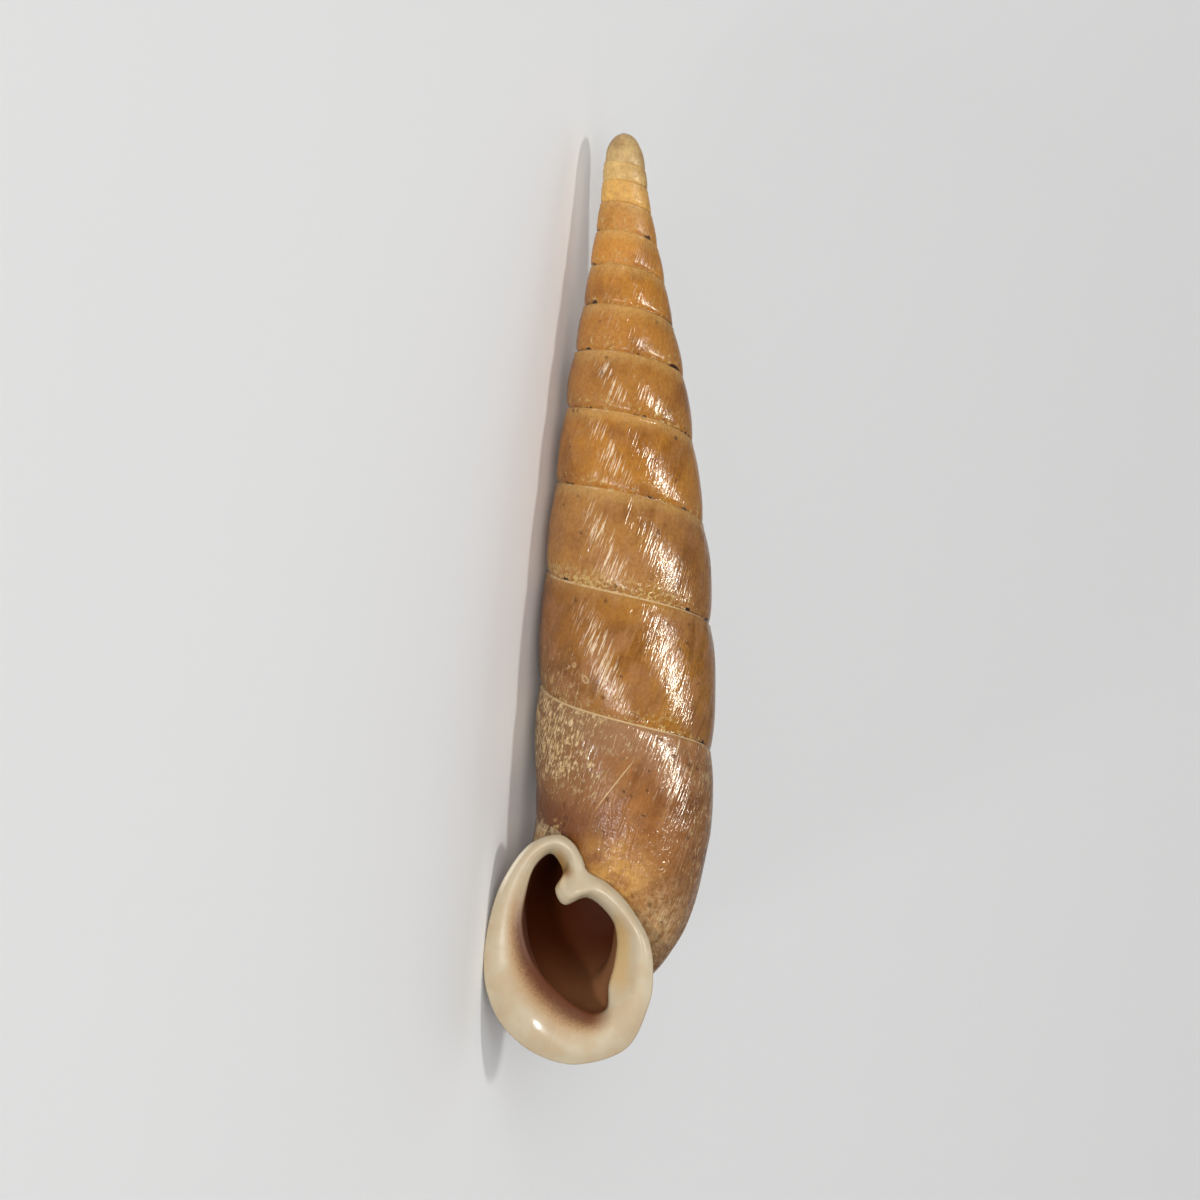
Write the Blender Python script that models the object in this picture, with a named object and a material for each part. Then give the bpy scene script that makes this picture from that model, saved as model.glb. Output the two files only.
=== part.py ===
"""Door snail shell, empty, lying on its side as a loose shell comes to rest.

A tall spindle of narrow whorls that coils to the left, with a glossy turned-out
lip round a pear-shaped mouth.  The shell is one solid: a coiled spindle, hollowed
along its last whorl, joined to the lip and the wall of that last whorl.

Millimetres throughout, turned into metres when a mesh is made.  The shell is
drawn with its axis upright: x to the right of the mouth's front view, y away
from the viewer, and depth down the axis from the tip.  Turns are counted from
the tip: a whole turn is on the left, a quarter more on the front, a half on the
right and three quarters at the back.
"""

import math

import bmesh
import bpy
import numpy as np
from mathutils import Matrix

MM = 0.001

# The coil: where the suture, the line between two whorls, is after each turn.
SUTURE_TURNS = (0.0, 1.0, 3.0, 5.0, 7.0, 8.0, 9.0, 10.0, 11.0, 11.5, 12.0, 13.0)
SUTURE_DEPTHS = (0.0, 1.30, 3.32, 6.33, 10.34, 12.98, 16.50, 20.70, 26.05, 29.2, 32.34, 40.4)
# Each turn of the suture tilts a little: how far it rises in front, and sinks behind.
TILT_TURNS = (0.0, 2.0, 6.0, 9.0, 10.2, 11.2, 12.0)
TILT_RISES = (0.0, 0.28, 0.55, 0.50, 0.14, -0.18, 0.0)
LAST_TURN = 13.0
SUTURE_END = (11.95, 12.15)

# The outline of the spindle over the bulge of each whorl.
BODY_DEPTHS = (0.0, 0.10, 0.33, 0.75, 1.5, 3.0, 4.5, 6.5, 9.0, 12.0, 16.0, 20.5, 25.0, 28.0, 31.0, 33.0)
BODY_RADII = (0.0, 0.31, 0.56, 0.80, 0.97, 1.13, 1.38, 1.75, 2.23, 2.83, 3.38, 3.92, 4.18, 4.27, 4.22, 4.08)
AXIS_BOW = 0.16

# Below the spindle the base narrows to the axis, and on the left it swells into
# the neck that leads forward to the lip.  Both run from the same depth to the
# same point on the axis, in equal steps of depth along the coil.
BASE_DEPTHS = (33.0, 34.6, 36.2, 37.6, 38.7, 39.5, 40.1, 40.4)
BASE_RADII = (4.08, 3.80, 3.42, 2.90, 2.25, 1.64, 0.95, 0.0)
NECK_DEPTHS = (33.0, 34.7, 36.5, 38.3, 40.0, 40.9, 41.0, 40.4)
NECK_RADII = (4.30, 4.62, 4.86, 4.86, 4.35, 3.20, 1.60, 0.0)
NECK_TURNS = (-0.45, -0.08, 0.02, 0.20)

# How far a whorl draws in at its sutures, as a share of its radius.
WHORL_BULGE = 0.062
WHORL_ROUNDNESS = 0.6
WHORL_SHOULDER = 0.85

# The lip's outer edge and the edge of the throat, as (x, depth), point for point,
# from the top round by the left.  The throat's last four points go round the
# lamella, a tooth that hangs from the upper right.
LIP_EDGE = (
    (-3.21, 33.09), (-4.58, 33.66), (-5.76, 35.36), (-6.37, 37.25), (-6.61, 39.18), (-6.35, 40.85),
    (-5.53, 42.32), (-4.02, 43.48), (-2.12, 43.90), (0.12, 43.14), (1.15, 41.15), (1.37, 39.61),
    (1.15, 38.00), (0.19, 36.35), (-0.80, 35.36), (-1.70, 34.84), (-1.98, 34.18), (-2.41, 33.47),
)
THROAT_EDGE = (
    (-3.42, 33.99), (-4.20, 34.60), (-4.60, 35.80), (-4.77, 37.25), (-4.50, 38.60), (-3.90, 39.65),
    (-3.15, 40.45), (-2.30, 41.15), (-1.45, 41.50), (-0.80, 41.25), (-0.72, 40.20), (-0.45, 39.20),
    (-0.33, 37.95), (-0.65, 36.95), (-1.70, 36.07), (-2.80, 36.40), (-3.24, 35.66), (-2.88, 34.86),
)
NO_LAMELLA = ((-0.75, 36.70), (-1.35, 35.90), (-1.90, 35.25), (-2.30, 34.70), (-2.80, 34.25))
LAMELLA_FIRST = 13

# The lip in section, from its back over the rim to the throat: how far in from
# the outer edge towards the throat, and how far in front of the axis.
LIP_SHARES = (0.0, 0.22, 0.52, 0.80)
LIP_FRONTS = (3.80, 4.20, 4.25, 3.98)
LIP_BACK_SHARE = 0.72
LIP_BACK_FRONT = 3.35
LIP_LEAN_DEG = 8.0
LIP_LEAN_FROM = -1.0
THROAT_FRONT = 3.45
GULLET_FRONT = 2.40
GULLET_LAMELLA = 0.5
NECK_FRONT = 2.60
NECK_WALL = 0.33

# The hollow behind the throat, as ellipses across the whorl at these turns:
# distance of the middle from the axis, its depth, half width, half height, lean.
HOLLOW_TURNS = (11.40, 11.50, 11.62, 11.75, 11.88, 12.0)
HOLLOW_OUT = (1.95, 1.95, 1.90, 1.92, 2.15, 2.45)
HOLLOW_DEPTHS = (32.0, 32.8, 33.8, 34.9, 36.0, 37.1)
HOLLOW_HALF_WIDTHS = (1.35, 1.50, 1.50, 1.55, 1.80, 2.0)
HOLLOW_HALF_HEIGHTS = (2.90, 3.25, 3.35, 3.50, 3.65, 3.85)
HOLLOW_LEANS_DEG = (4.0, 5.0, 7.0, 7.0, 4.0, 0.0)
HOLLOW_WALL = 0.25

# Its blind end closes from the last ellipse to almost a point, a little further
# round the coil outside the wall than inside it.
END_TURNS = (11.35, 11.33)
END_SHARES = (0.6, 0.02)
END_TURNS_PER_MM = 0.06

# The cutter that hollows the spindle starts clear in front of the lip.
CUTTER_FRONT = 5.2

# Facets: round the coil, down each whorl, and between the neck's own points.
COLUMNS_PER_TURN = 32
WHORL_PHASES = (0.0, 0.06, 0.26, 0.5, 0.74, 0.92)
STEPS_ROUND = 2
STEPS_ALONG = 2

# How the loose shell lies: on the back of its body whorl and the left edge of its
# lip, with its tip towards +Y.  It is turned about its middle, then set down.
TURN_MIDDLE_DEPTH = 20.2
ROLL_DEG = -71.0
PITCH_DEG = -4.7
SET_DOWN = (0.509, 1.847, 3.710)

SHELL_COLOUR = (0.42, 0.24, 0.11, 1.0)
SHELL_ROUGHNESS = 0.38


def through(at, xs, ys):
    """A smooth curve through the points (xs, ys) that doesn't overshoot, read at `at`."""
    xs = np.asarray(xs, float)
    ys = np.asarray(ys, float)
    steps = np.diff(xs)
    slopes = np.diff(ys) / steps
    before, after = slopes[:-1], slopes[1:]
    turning = before * after <= 0
    total = np.where(turning, 1.0, before + after)
    inner = np.where(turning, 0.0, 2.0 * before * after / total)
    tangents = np.concatenate(([slopes[0]], inner, [slopes[-1]]))
    at = np.clip(at, xs[0], xs[-1])
    span = np.clip(np.searchsorted(xs, at, side="right") - 1, 0, len(steps) - 1)
    width = steps[span]
    u = (at - xs[span]) / width
    rise = ys[span + 1] - ys[span]
    start = tangents[span] * width
    end = tangents[span + 1] * width
    return ys[span] + u * (start + u * (3 * rise - 2 * start - end + u * (start + end - 2 * rise)))


def eased(value, low, high):
    """0 below low, 1 above high, and a smooth step between them."""
    u = np.clip((value - low) / (high - low), 0.0, 1.0)
    return u * u * (3.0 - 2.0 * u)


def suture_depth(turn):
    tilt = through(turn, TILT_TURNS, TILT_RISES) * np.sin(2.0 * math.pi * np.asarray(turn))
    return through(turn, SUTURE_TURNS, SUTURE_DEPTHS) - tilt


def coil_angle(turn):
    """Seen from the tip the shell coils anticlockwise, so it opens on the left."""
    return math.pi + 2.0 * math.pi * turn


def neck_share(turn):
    """How much of the base at this side of the shell is neck."""
    side = (turn + 0.5) % 1.0 - 0.5
    rise = eased(side, NECK_TURNS[0], NECK_TURNS[1])
    fall = eased(side, NECK_TURNS[2], NECK_TURNS[3])
    return rise * (1.0 - fall)


def spindle_profile(turn, depth):
    """Radius and true depth of the spindle over the whorls' bulges."""
    start = BODY_DEPTHS[-1]
    body = through(depth, BODY_DEPTHS, BODY_RADII)
    along = np.clip((depth - start) / (BASE_DEPTHS[-1] - start), 0.0, 1.0)
    share = neck_share(turn)
    steps = np.linspace(0.0, 1.0, len(BASE_DEPTHS))
    base_depth = through(along, steps, BASE_DEPTHS)
    base_radius = through(along, steps, BASE_RADII)
    neck_depth = through(along, steps, NECK_DEPTHS)
    neck_radius = through(along, steps, NECK_RADII)
    swell = share * eased(depth, start - 2.5, start)
    body = body + swell * (NECK_RADII[0] - BASE_RADII[0])
    radius = np.where(depth < start, body, base_radius + share * (neck_radius - base_radius))
    true_depth = np.where(depth < start, depth, base_depth + share * (neck_depth - base_depth))
    return radius, true_depth


def whorl_profile(turn, phase):
    """How far a whorl is drawn in between its upper suture, phase 0, and its lower one, 1."""
    arch = phase ** WHORL_SHOULDER
    round_part = (4.0 * arch * (1.0 - arch)) ** WHORL_ROUNDNESS
    drawn = 1.0 - round_part
    upper = 1.0 - eased(turn, *SUTURE_END)
    lower = 1.0 - eased(turn + 1.0, *SUTURE_END)
    at_suture = upper + (lower - upper) * phase
    return 1.0 - WHORL_BULGE * drawn * at_suture


def spindle_points():
    """Rows of points, one column for each step round the coil."""
    columns = int((LAST_TURN + 1.0) * COLUMNS_PER_TURN)
    turn = -1.0 + np.arange(columns)[:, None] / COLUMNS_PER_TURN
    phase = np.array(WHORL_PHASES)[None, :]
    depth = suture_depth(turn) + phase * (suture_depth(turn + 1.0) - suture_depth(turn))
    radius, depth = spindle_profile(turn, depth)
    radius = radius * whorl_profile(turn, phase)
    angle = coil_angle(turn)
    bow = AXIS_BOW * np.sin(math.pi * depth / BODY_DEPTHS[-1])
    return np.stack([bow + radius * np.cos(angle), radius * np.sin(angle), -depth], axis=-1)


def spindle_mesh():
    """The coiled spindle: each column's last row meets the first row one turn on."""
    points = spindle_points()
    columns, rows = points.shape[:2]
    mesh = bmesh.new()
    verts = [mesh.verts.new(p * MM) for p in points.reshape(-1, 3)]
    foot = mesh.verts.new((0.0, 0.0, -BASE_DEPTHS[-1] * MM))

    def vert(column, row):
        if row == rows:
            column, row = column + COLUMNS_PER_TURN, 0
        return verts[column * rows + row] if column < columns else foot

    for column in range(columns):
        for row in range(rows):
            here = [vert(column, row), vert(column, row + 1)]
            there = [vert(column + 1, row + 1), vert(column + 1, row)]
            corners = list(dict.fromkeys(here + there))
            if len(corners) > 2:
                mesh.faces.new(corners)
    return closed(mesh, "spindle")


def closed(mesh, name):
    """Weld the points that share a place, face everything out and make the mesh."""
    bmesh.ops.remove_doubles(mesh, verts=mesh.verts, dist=0.001 * MM)
    bmesh.ops.dissolve_degenerate(mesh, edges=mesh.edges, dist=0.001 * MM)
    edges = [edge for edge in mesh.edges if edge.is_boundary]
    if edges:
        bmesh.ops.holes_fill(mesh, edges=edges)
    bmesh.ops.recalc_face_normals(mesh, faces=mesh.faces)
    data = bpy.data.meshes.new(name)
    mesh.to_mesh(data)
    mesh.free()
    data.shade_smooth()
    return data


def smooth_through(points, steps, ring=False):
    """Points along a smooth curve through the given ones, `steps` to each span."""
    points = np.asarray(points, float)
    count = len(points)
    spans = count if ring else count - 1
    made = []
    for i in range(spans):
        if ring:
            p0, p1, p2, p3 = (points[(i + k) % count] for k in (-1, 0, 1, 2))
        else:
            p0, p1, p2, p3 = (points[min(max(i + k, 0), count - 1)] for k in (-1, 0, 1, 2))
        for step in range(steps):
            u = step / steps
            a = 2.0 * p1
            b = p2 - p0
            c = 2.0 * p0 - 5.0 * p1 + 4.0 * p2 - p3
            d = 3.0 * p1 - p0 - 3.0 * p2 + p3
            made.append(0.5 * (a + u * (b + u * (c + u * d))))
    if not ring:
        made.append(points[-1])
    return np.array(made)


def lip_middle():
    edge = np.array(LIP_EDGE)
    return (edge.min(axis=0) + edge.max(axis=0)) / 2.0


def key_angles():
    """The direction of each of the lip's points from the middle of the mouth."""
    across, down = (np.array(LIP_EDGE) - lip_middle()).T
    return np.arctan2(-down, across)


def pushed_out(outline, wall):
    """An outline moved outwards by the thickness of the wall."""
    outline = np.asarray(outline, float)
    along = np.roll(outline, -1, axis=0) - np.roll(outline, 1, axis=0)
    along /= np.linalg.norm(along, axis=1)[:, None]
    outward = np.stack([along[:, 1], -along[:, 0]], axis=1)
    facing = np.sum(outward * (outline - outline.mean(axis=0)), axis=1).sum()
    return outline + math.copysign(wall, facing) * outward


def plain_throat():
    """The edge of the throat as it would be with no lamella."""
    outline = np.array(THROAT_EDGE)
    outline[LAMELLA_FIRST:] = NO_LAMELLA
    return outline


def front_ring(outline, front):
    """An outline of (x, depth) set at a distance in front of the axis."""
    outline = np.asarray(outline, float)
    fronts = np.broadcast_to(front, len(outline))
    return np.stack([outline[:, 0], -fronts, -outline[:, 1]], axis=1)


def leaning_ring(outline, front):
    """An outline in front of the axis whose left side leans back, as the lip does."""
    left = np.maximum(LIP_LEAN_FROM - np.asarray(outline)[:, 0], 0.0)
    return front_ring(outline, front - left * math.tan(math.radians(LIP_LEAN_DEG)))


def hollow_ring(turn, extra, shrink=1.0):
    """An ellipse across the whorl, `extra` millimetres larger than the hollow."""
    out = through(turn, HOLLOW_TURNS, HOLLOW_OUT)
    depth = through(turn, HOLLOW_TURNS, HOLLOW_DEPTHS)
    half_width = shrink * (through(turn, HOLLOW_TURNS, HOLLOW_HALF_WIDTHS) + extra)
    half_height = shrink * (through(turn, HOLLOW_TURNS, HOLLOW_HALF_HEIGHTS) + extra)
    lean = math.radians(through(turn, HOLLOW_TURNS, HOLLOW_LEANS_DEG))
    angles = key_angles()
    outward = -half_width * np.cos(angles)
    down = -half_height * np.sin(angles)
    away = out + outward * math.cos(lean) - down * math.sin(lean)
    deep = depth + outward * math.sin(lean) + down * math.cos(lean)
    angle = coil_angle(turn)
    return np.stack([away * math.cos(angle), away * math.sin(angle), -deep], axis=1)


def hollow_rings(extra):
    """The hollow from behind the throat to its blind end."""
    rings = [hollow_ring(turn, extra) for turn in reversed(HOLLOW_TURNS)]
    for turn, share in zip(END_TURNS, END_SHARES, strict=True):
        rings.append(hollow_ring(turn - extra * END_TURNS_PER_MM, extra, share))
    return rings


def between(ring_a, ring_b, share):
    return ring_a + share * (ring_b - ring_a)


def lip_rings():
    """From behind the lip, over its rim and down to the throat."""
    edge = np.array(LIP_EDGE)
    throat = np.array(THROAT_EDGE)
    neck = pushed_out(plain_throat(), NECK_WALL)
    rings = [front_ring(neck, NECK_FRONT)]
    rings.append(leaning_ring(between(neck, edge, LIP_BACK_SHARE), LIP_BACK_FRONT))
    for share, front in zip(LIP_SHARES, LIP_FRONTS, strict=True):
        rings.append(leaning_ring(between(edge, throat, share), front))
    rings.append(leaning_ring(throat, THROAT_FRONT))
    return rings


def gullet_rings(extra):
    """Between the throat and the hollow, `extra` millimetres outside its wall."""
    lamella = GULLET_LAMELLA if extra == 0.0 else 0.0
    outline = between(plain_throat(), np.array(THROAT_EDGE), lamella)
    inside = front_ring(pushed_out(outline, extra), GULLET_FRONT)
    first = hollow_ring(HOLLOW_TURNS[-1], extra)
    return [inside, between(inside, first, 0.5)]


def neck_mesh():
    """The lip and the wall of the last whorl behind it, a tube closed at its far end."""
    outer = list(reversed(hollow_rings(HOLLOW_WALL)))
    lip = lip_rings()
    outer.append(between(outer[-1], lip[0], 0.5))
    return tube_mesh(outer + lip + gullet_rings(0.0) + hollow_rings(0.0), "neck")


def cutter_mesh():
    """What is taken out of the spindle: its surface runs inside the neck's own wall."""
    mouth = pushed_out(plain_throat(), NECK_WALL / 2.0)
    half_wall = HOLLOW_WALL / 2.0
    rings = [front_ring(mouth, CUTTER_FRONT), front_ring(mouth, THROAT_FRONT)]
    return tube_mesh(rings + gullet_rings(half_wall) + hollow_rings(half_wall), "cutter")


def tube_mesh(rings, name):
    """A closed mesh through the rings, with a face over each end."""
    rows = smooth_through(rings, STEPS_ALONG)
    grid = smooth_through(rows.swapaxes(0, 1), STEPS_ROUND, ring=True).swapaxes(0, 1)
    mesh = bmesh.new()
    verts = [[mesh.verts.new(p * MM) for p in row] for row in grid]
    count = len(verts[0])
    for here, there in zip(verts, verts[1:]):
        for i in range(count):
            j = (i + 1) % count
            mesh.faces.new([here[i], here[j], there[j], there[i]])
    mesh.faces.new(verts[0])
    mesh.faces.new(reversed(verts[-1]))
    return closed(mesh, name)


def lying():
    """The turn and shift that lay the upright shell down as it comes to rest."""
    middle = Matrix.Translation((0.0, 0.0, TURN_MIDDLE_DEPTH * MM))
    flat = Matrix.Rotation(math.radians(-90.0), 4, "X")
    roll = Matrix.Rotation(math.radians(ROLL_DEG), 4, "Y")
    pitch = Matrix.Rotation(math.radians(PITCH_DEG), 4, "X")
    set_down = Matrix.Translation([MM * step for step in SET_DOWN])
    return set_down @ pitch @ roll @ flat @ middle


def shell_material():
    material = bpy.data.materials.new("shell")
    material.use_nodes = True
    surface = material.node_tree.nodes["Principled BSDF"]
    surface.inputs["Base Color"].default_value = SHELL_COLOUR
    surface.inputs["Roughness"].default_value = SHELL_ROUGHNESS
    surface.inputs["Metallic"].default_value = 0.0
    return material


def helper(name, data):
    """An object that only shapes the shell and isn't a piece of its own."""
    item = bpy.data.objects.new(name, data)
    bpy.context.collection.objects.link(item)
    item.matrix_world = lying()
    item.hide_render = True
    item.display_type = "WIRE"
    return item


def add_boolean(piece, other, operation):
    modifier = piece.modifiers.new(other.name, "BOOLEAN")
    modifier.operation = operation
    modifier.solver = "EXACT"
    modifier.object = other


def shell():
    """The whole shell, one solid."""
    piece = bpy.data.objects.new("shell", spindle_mesh())
    bpy.context.collection.objects.link(piece)
    piece.matrix_world = lying()
    piece.data.materials.append(shell_material())
    add_boolean(piece, helper("hollow", cutter_mesh()), "DIFFERENCE")
    add_boolean(piece, helper("neck", neck_mesh()), "UNION")
    return piece


def clear_scene():
    for item in list(bpy.data.objects):
        bpy.data.objects.remove(item, do_unlink=True)


def main():
    clear_scene()
    shell()


main()
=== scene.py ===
"""The looks of the door snail shell: its fine surface, colours, floor, light and camera."""

import math

import bmesh
import bpy
import numpy as np
from mathutils import Matrix, Vector


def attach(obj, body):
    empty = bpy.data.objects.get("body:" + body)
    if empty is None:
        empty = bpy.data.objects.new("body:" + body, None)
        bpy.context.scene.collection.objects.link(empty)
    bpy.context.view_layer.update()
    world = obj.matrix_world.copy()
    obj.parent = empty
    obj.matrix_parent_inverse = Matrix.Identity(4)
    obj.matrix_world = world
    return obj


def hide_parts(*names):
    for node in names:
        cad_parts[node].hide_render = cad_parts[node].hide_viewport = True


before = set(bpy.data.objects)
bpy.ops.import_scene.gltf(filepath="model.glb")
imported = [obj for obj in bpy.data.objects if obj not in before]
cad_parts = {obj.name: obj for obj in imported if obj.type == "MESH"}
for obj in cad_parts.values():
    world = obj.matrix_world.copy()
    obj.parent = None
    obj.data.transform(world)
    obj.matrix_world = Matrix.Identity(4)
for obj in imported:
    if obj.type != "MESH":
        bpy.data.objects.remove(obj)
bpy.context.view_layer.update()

MM = 0.001

# ---- The shell's shape, as in the CAD: upright, in millimetres, depth down from the tip ----

SUTURE_TURNS = (0.0, 1.0, 3.0, 5.0, 7.0, 8.0, 9.0, 10.0, 11.0, 11.5, 12.0, 13.0)
SUTURE_DEPTHS = (0.0, 1.30, 3.32, 6.33, 10.34, 12.98, 16.50, 20.70, 26.05, 29.2, 32.34, 40.4)
# Each turn of the suture tilts a little: how far it rises in front, and sinks behind.
TILT_TURNS = (0.0, 2.0, 6.0, 9.0, 10.2, 11.2, 12.0)
TILT_RISES = (0.0, 0.28, 0.55, 0.50, 0.14, -0.18, 0.0)
LAST_TURN = 13.0
SUTURE_END = (11.95, 12.15)
BODY_DEPTHS = (0.0, 0.10, 0.33, 0.75, 1.5, 3.0, 4.5, 6.5, 9.0, 12.0, 16.0, 20.5, 25.0, 28.0, 31.0, 33.0)
BODY_RADII = (0.0, 0.31, 0.56, 0.80, 0.97, 1.13, 1.38, 1.75, 2.23, 2.83, 3.38, 3.92, 4.18, 4.27, 4.22, 4.08)
AXIS_BOW = 0.16
BASE_DEPTHS = (33.0, 34.6, 36.2, 37.6, 38.7, 39.5, 40.1, 40.4)
BASE_RADII = (4.08, 3.80, 3.42, 2.90, 2.25, 1.64, 0.95, 0.0)
NECK_DEPTHS = (33.0, 34.7, 36.5, 38.3, 40.0, 40.9, 41.0, 40.4)
NECK_RADII = (4.30, 4.62, 4.86, 4.86, 4.35, 3.20, 1.60, 0.0)
NECK_TURNS = (-0.45, -0.08, 0.02, 0.20)
# The body swells out to the neck over this depth.
NECK_SWELL = 2.5
WHORL_BULGE = 0.062
WHORL_ROUNDNESS = 0.6
WHORL_SHOULDER = 0.85

# The lip's outer edge and the throat's, as (right, depth) seen from in front, from the
# top round by the left. Each point of one faces a point of the other.
LIP_EDGE = (
    (-3.21, 33.09), (-4.58, 33.66), (-5.76, 35.36), (-6.37, 37.25), (-6.61, 39.18), (-6.35, 40.85),
    (-5.53, 42.32), (-4.02, 43.48), (-2.12, 43.90), (0.12, 43.14), (1.15, 41.15), (1.37, 39.61),
    (1.15, 38.00), (0.19, 36.35), (-0.80, 35.36), (-1.70, 34.84), (-1.98, 34.18), (-2.41, 33.47),
)
THROAT_EDGE = (
    (-3.42, 33.99), (-4.20, 34.60), (-4.60, 35.80), (-4.77, 37.25), (-4.50, 38.60), (-3.90, 39.65),
    (-3.15, 40.45), (-2.30, 41.15), (-1.45, 41.50), (-0.80, 41.25), (-0.72, 40.20), (-0.45, 39.20),
    (-0.33, 37.95), (-0.65, 36.95), (-1.70, 36.07), (-2.80, 36.40), (-3.24, 35.66), (-2.88, 34.86),
)
NO_LAMELLA = ((-0.75, 36.70), (-1.35, 35.90), (-1.90, 35.25), (-2.30, 34.70), (-2.80, 34.25))
LAMELLA_FIRST = 13
LIP_SHARES = (0.0, 0.10, 0.24, 0.42, 0.62, 0.82)
LIP_FRONTS = (3.80, 4.03, 4.17, 4.22, 4.18, 4.04)
LIP_BACK_SHARE = 0.72
LIP_BACK_FRONT = 3.35
LIP_LEAN_DEG = 8.0
LIP_LEAN_FROM = -1.0
THROAT_FRONT = 3.76
GULLET_FRONT = 2.40
GULLET_LAMELLA = 0.5
NECK_FRONT = 2.60
NECK_WALL = 0.33
# How far the lip is sunk below its plain roll, at some of its points: a number for each
# of LIP_SHARES and one for the throat's edge. They make the fold at the lower right, the
# ledge above it, the lamella's knob and stalk, and the groove beside them.
LIP_DIPS = {
    0: (0.0, 0.0, 0.0, 0.02, 0.10, 0.22, 0.40),
    4: (0.0, 0.0, 0.02, 0.03, 0.02, 0.0, 0.0),
    6: (0.0, -0.01, 0.03, 0.01, -0.03, -0.02, 0.0),
    8: (0.0, 0.0, 0.0, 0.02, 0.06, 0.06, 0.10),
    9: (0.0, 0.0, 0.0, -0.05, -0.10, -0.04, 0.20),
    10: (0.0, 0.0, 0.02, 0.12, 0.32, 0.46, 0.55),
    11: (0.0, 0.0, 0.02, 0.16, 0.44, 0.62, 0.72),
    12: (0.0, 0.0, 0.02, 0.16, 0.38, 0.54, 0.66),
    13: (0.0, 0.0, 0.0, 0.02, 0.12, 0.24, 0.45),
    14: (0.0, 0.0, 0.0, 0.0, 0.0, 0.08, 0.35),
    15: (0.0, 0.0, 0.0, -0.04, -0.10, -0.08, 0.25),
    16: (0.0, 0.0, 0.02, 0.22, 0.30, 0.10, 0.25),
    17: (0.0, 0.0, 0.02, 0.18, 0.45, 0.80, 1.10),
}
HOLLOW_TURNS = (11.40, 11.50, 11.62, 11.75, 11.88, 12.0)
HOLLOW_OUT = (1.95, 1.95, 1.90, 1.92, 2.15, 2.45)
HOLLOW_DEPTHS = (32.0, 32.8, 33.8, 34.9, 36.0, 37.1)
HOLLOW_HALF_WIDTHS = (1.35, 1.50, 1.50, 1.55, 1.80, 2.0)
HOLLOW_HALF_HEIGHTS = (2.90, 3.25, 3.35, 3.50, 3.65, 3.85)
HOLLOW_LEANS_DEG = (4.0, 5.0, 7.0, 7.0, 4.0, 0.0)
HOLLOW_WALL = 0.25
END_TURNS = (11.35, 11.33)
END_SHARES = (0.6, 0.02)
END_TURNS_PER_MM = 0.06
CUTTER_FRONT = 5.2

# How it lies, as in the CAD.
TURN_MIDDLE_DEPTH = 20.2
ROLL_DEG = -71.0
PITCH_DEG = -4.7
SET_DOWN = (0.509, 1.847, 3.710)

# ---- The fine surface ----

# Columns a turn above and below COARSE_TURNS, and rows down a whorl, crowded towards
# the sutures.
COARSE_TURNS = 7.0
COLUMNS_PER_TURN = (120, 264)
WHORL_ROWS = 24
SUTURE_CROWDING = 0.6
STEPS_ROUND = 12
STEPS_ALONG = 6
# Edges shorter than this are merged away, with the slivers that a Boolean leaves.
SMALLEST_EDGE = 0.0005
# What the "mouth" layer holds off the lip and neck, and the "coil" layer on them.
NOT_MOUTH = -9.0
ON_MOUTH = 99.0
# What the "mouth" layer holds along the neck and on the lip's back, and how much more
# from ring to ring down the throat.
NECK_VALUE = -2.0
LIP_BACK_VALUES = (-1.5, -1.0, -0.4)
THROAT_VALUE_STEP = 0.4
# On the lip and neck the turn is read from the direction, from this turn on.
TUBE_FIRST_TURN = 11.5

# Growth lines lean back from the suture by this much.
GROWTH_LEAN_DEG = 20.0
BACKWARD = math.tan(math.radians(GROWTH_LEAN_DEG))
# Steps in which the length along the coil is measured.
LINE_SAMPLES = 1400
# On the last whorl there is no suture below: its lines run on down to the base, and
# places there count as this far above a suture.
LAST_LINE_TURN = 12.08
NO_SUTURE = 9.0

# The relief grows with the whorl's radius, and at the tip it fades in between two radii.
FULL_GIRTH_RADIUS = 4.2
SMALLEST_GIRTH_RADIUS = 0.2
RELIEF_STARTS_RADII = (0.1, 0.5)
# Wrinkles in the relief: the length of one along the coil and down the whorl, a shift
# in the random table, the height, how much higher it is near the lip, and the seed.
WRINKLES = (
    (0.75, 3.5, 0.0, 0.022, 0.030, 3),
    (0.33, 2.0, 40.0, 0.011, 0.012, 4),
    (2.4, 1.8, 80.0, 0.030, 0.0, 5),
)
NEAR_LIP_TURNS = (11.45, 11.9)
NEAR_LIP_BELOW = (1.0, 4.0)
RANDOM_TABLE_SIZE = 256
# A suture: a thread just below it, a groove just above it and a crease in the middle.
THREAD_HEIGHT = 0.05
THREAD_WIDTH = 0.07
GROOVE_DEPTH = 0.07
GROOVE_WIDTH = 0.10
CREASE_DEPTH = 0.05
CREASE_WIDTH = 0.03
CHIP_LENGTH = 0.5
CHIP_SHARE = 0.6
CHIP_SEED = 7
SUTURES_GROW_TURNS = (0.5, 3.0)
SUTURES_GROW_FASTER = 1.6

# ---- Colours, linear ----

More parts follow.
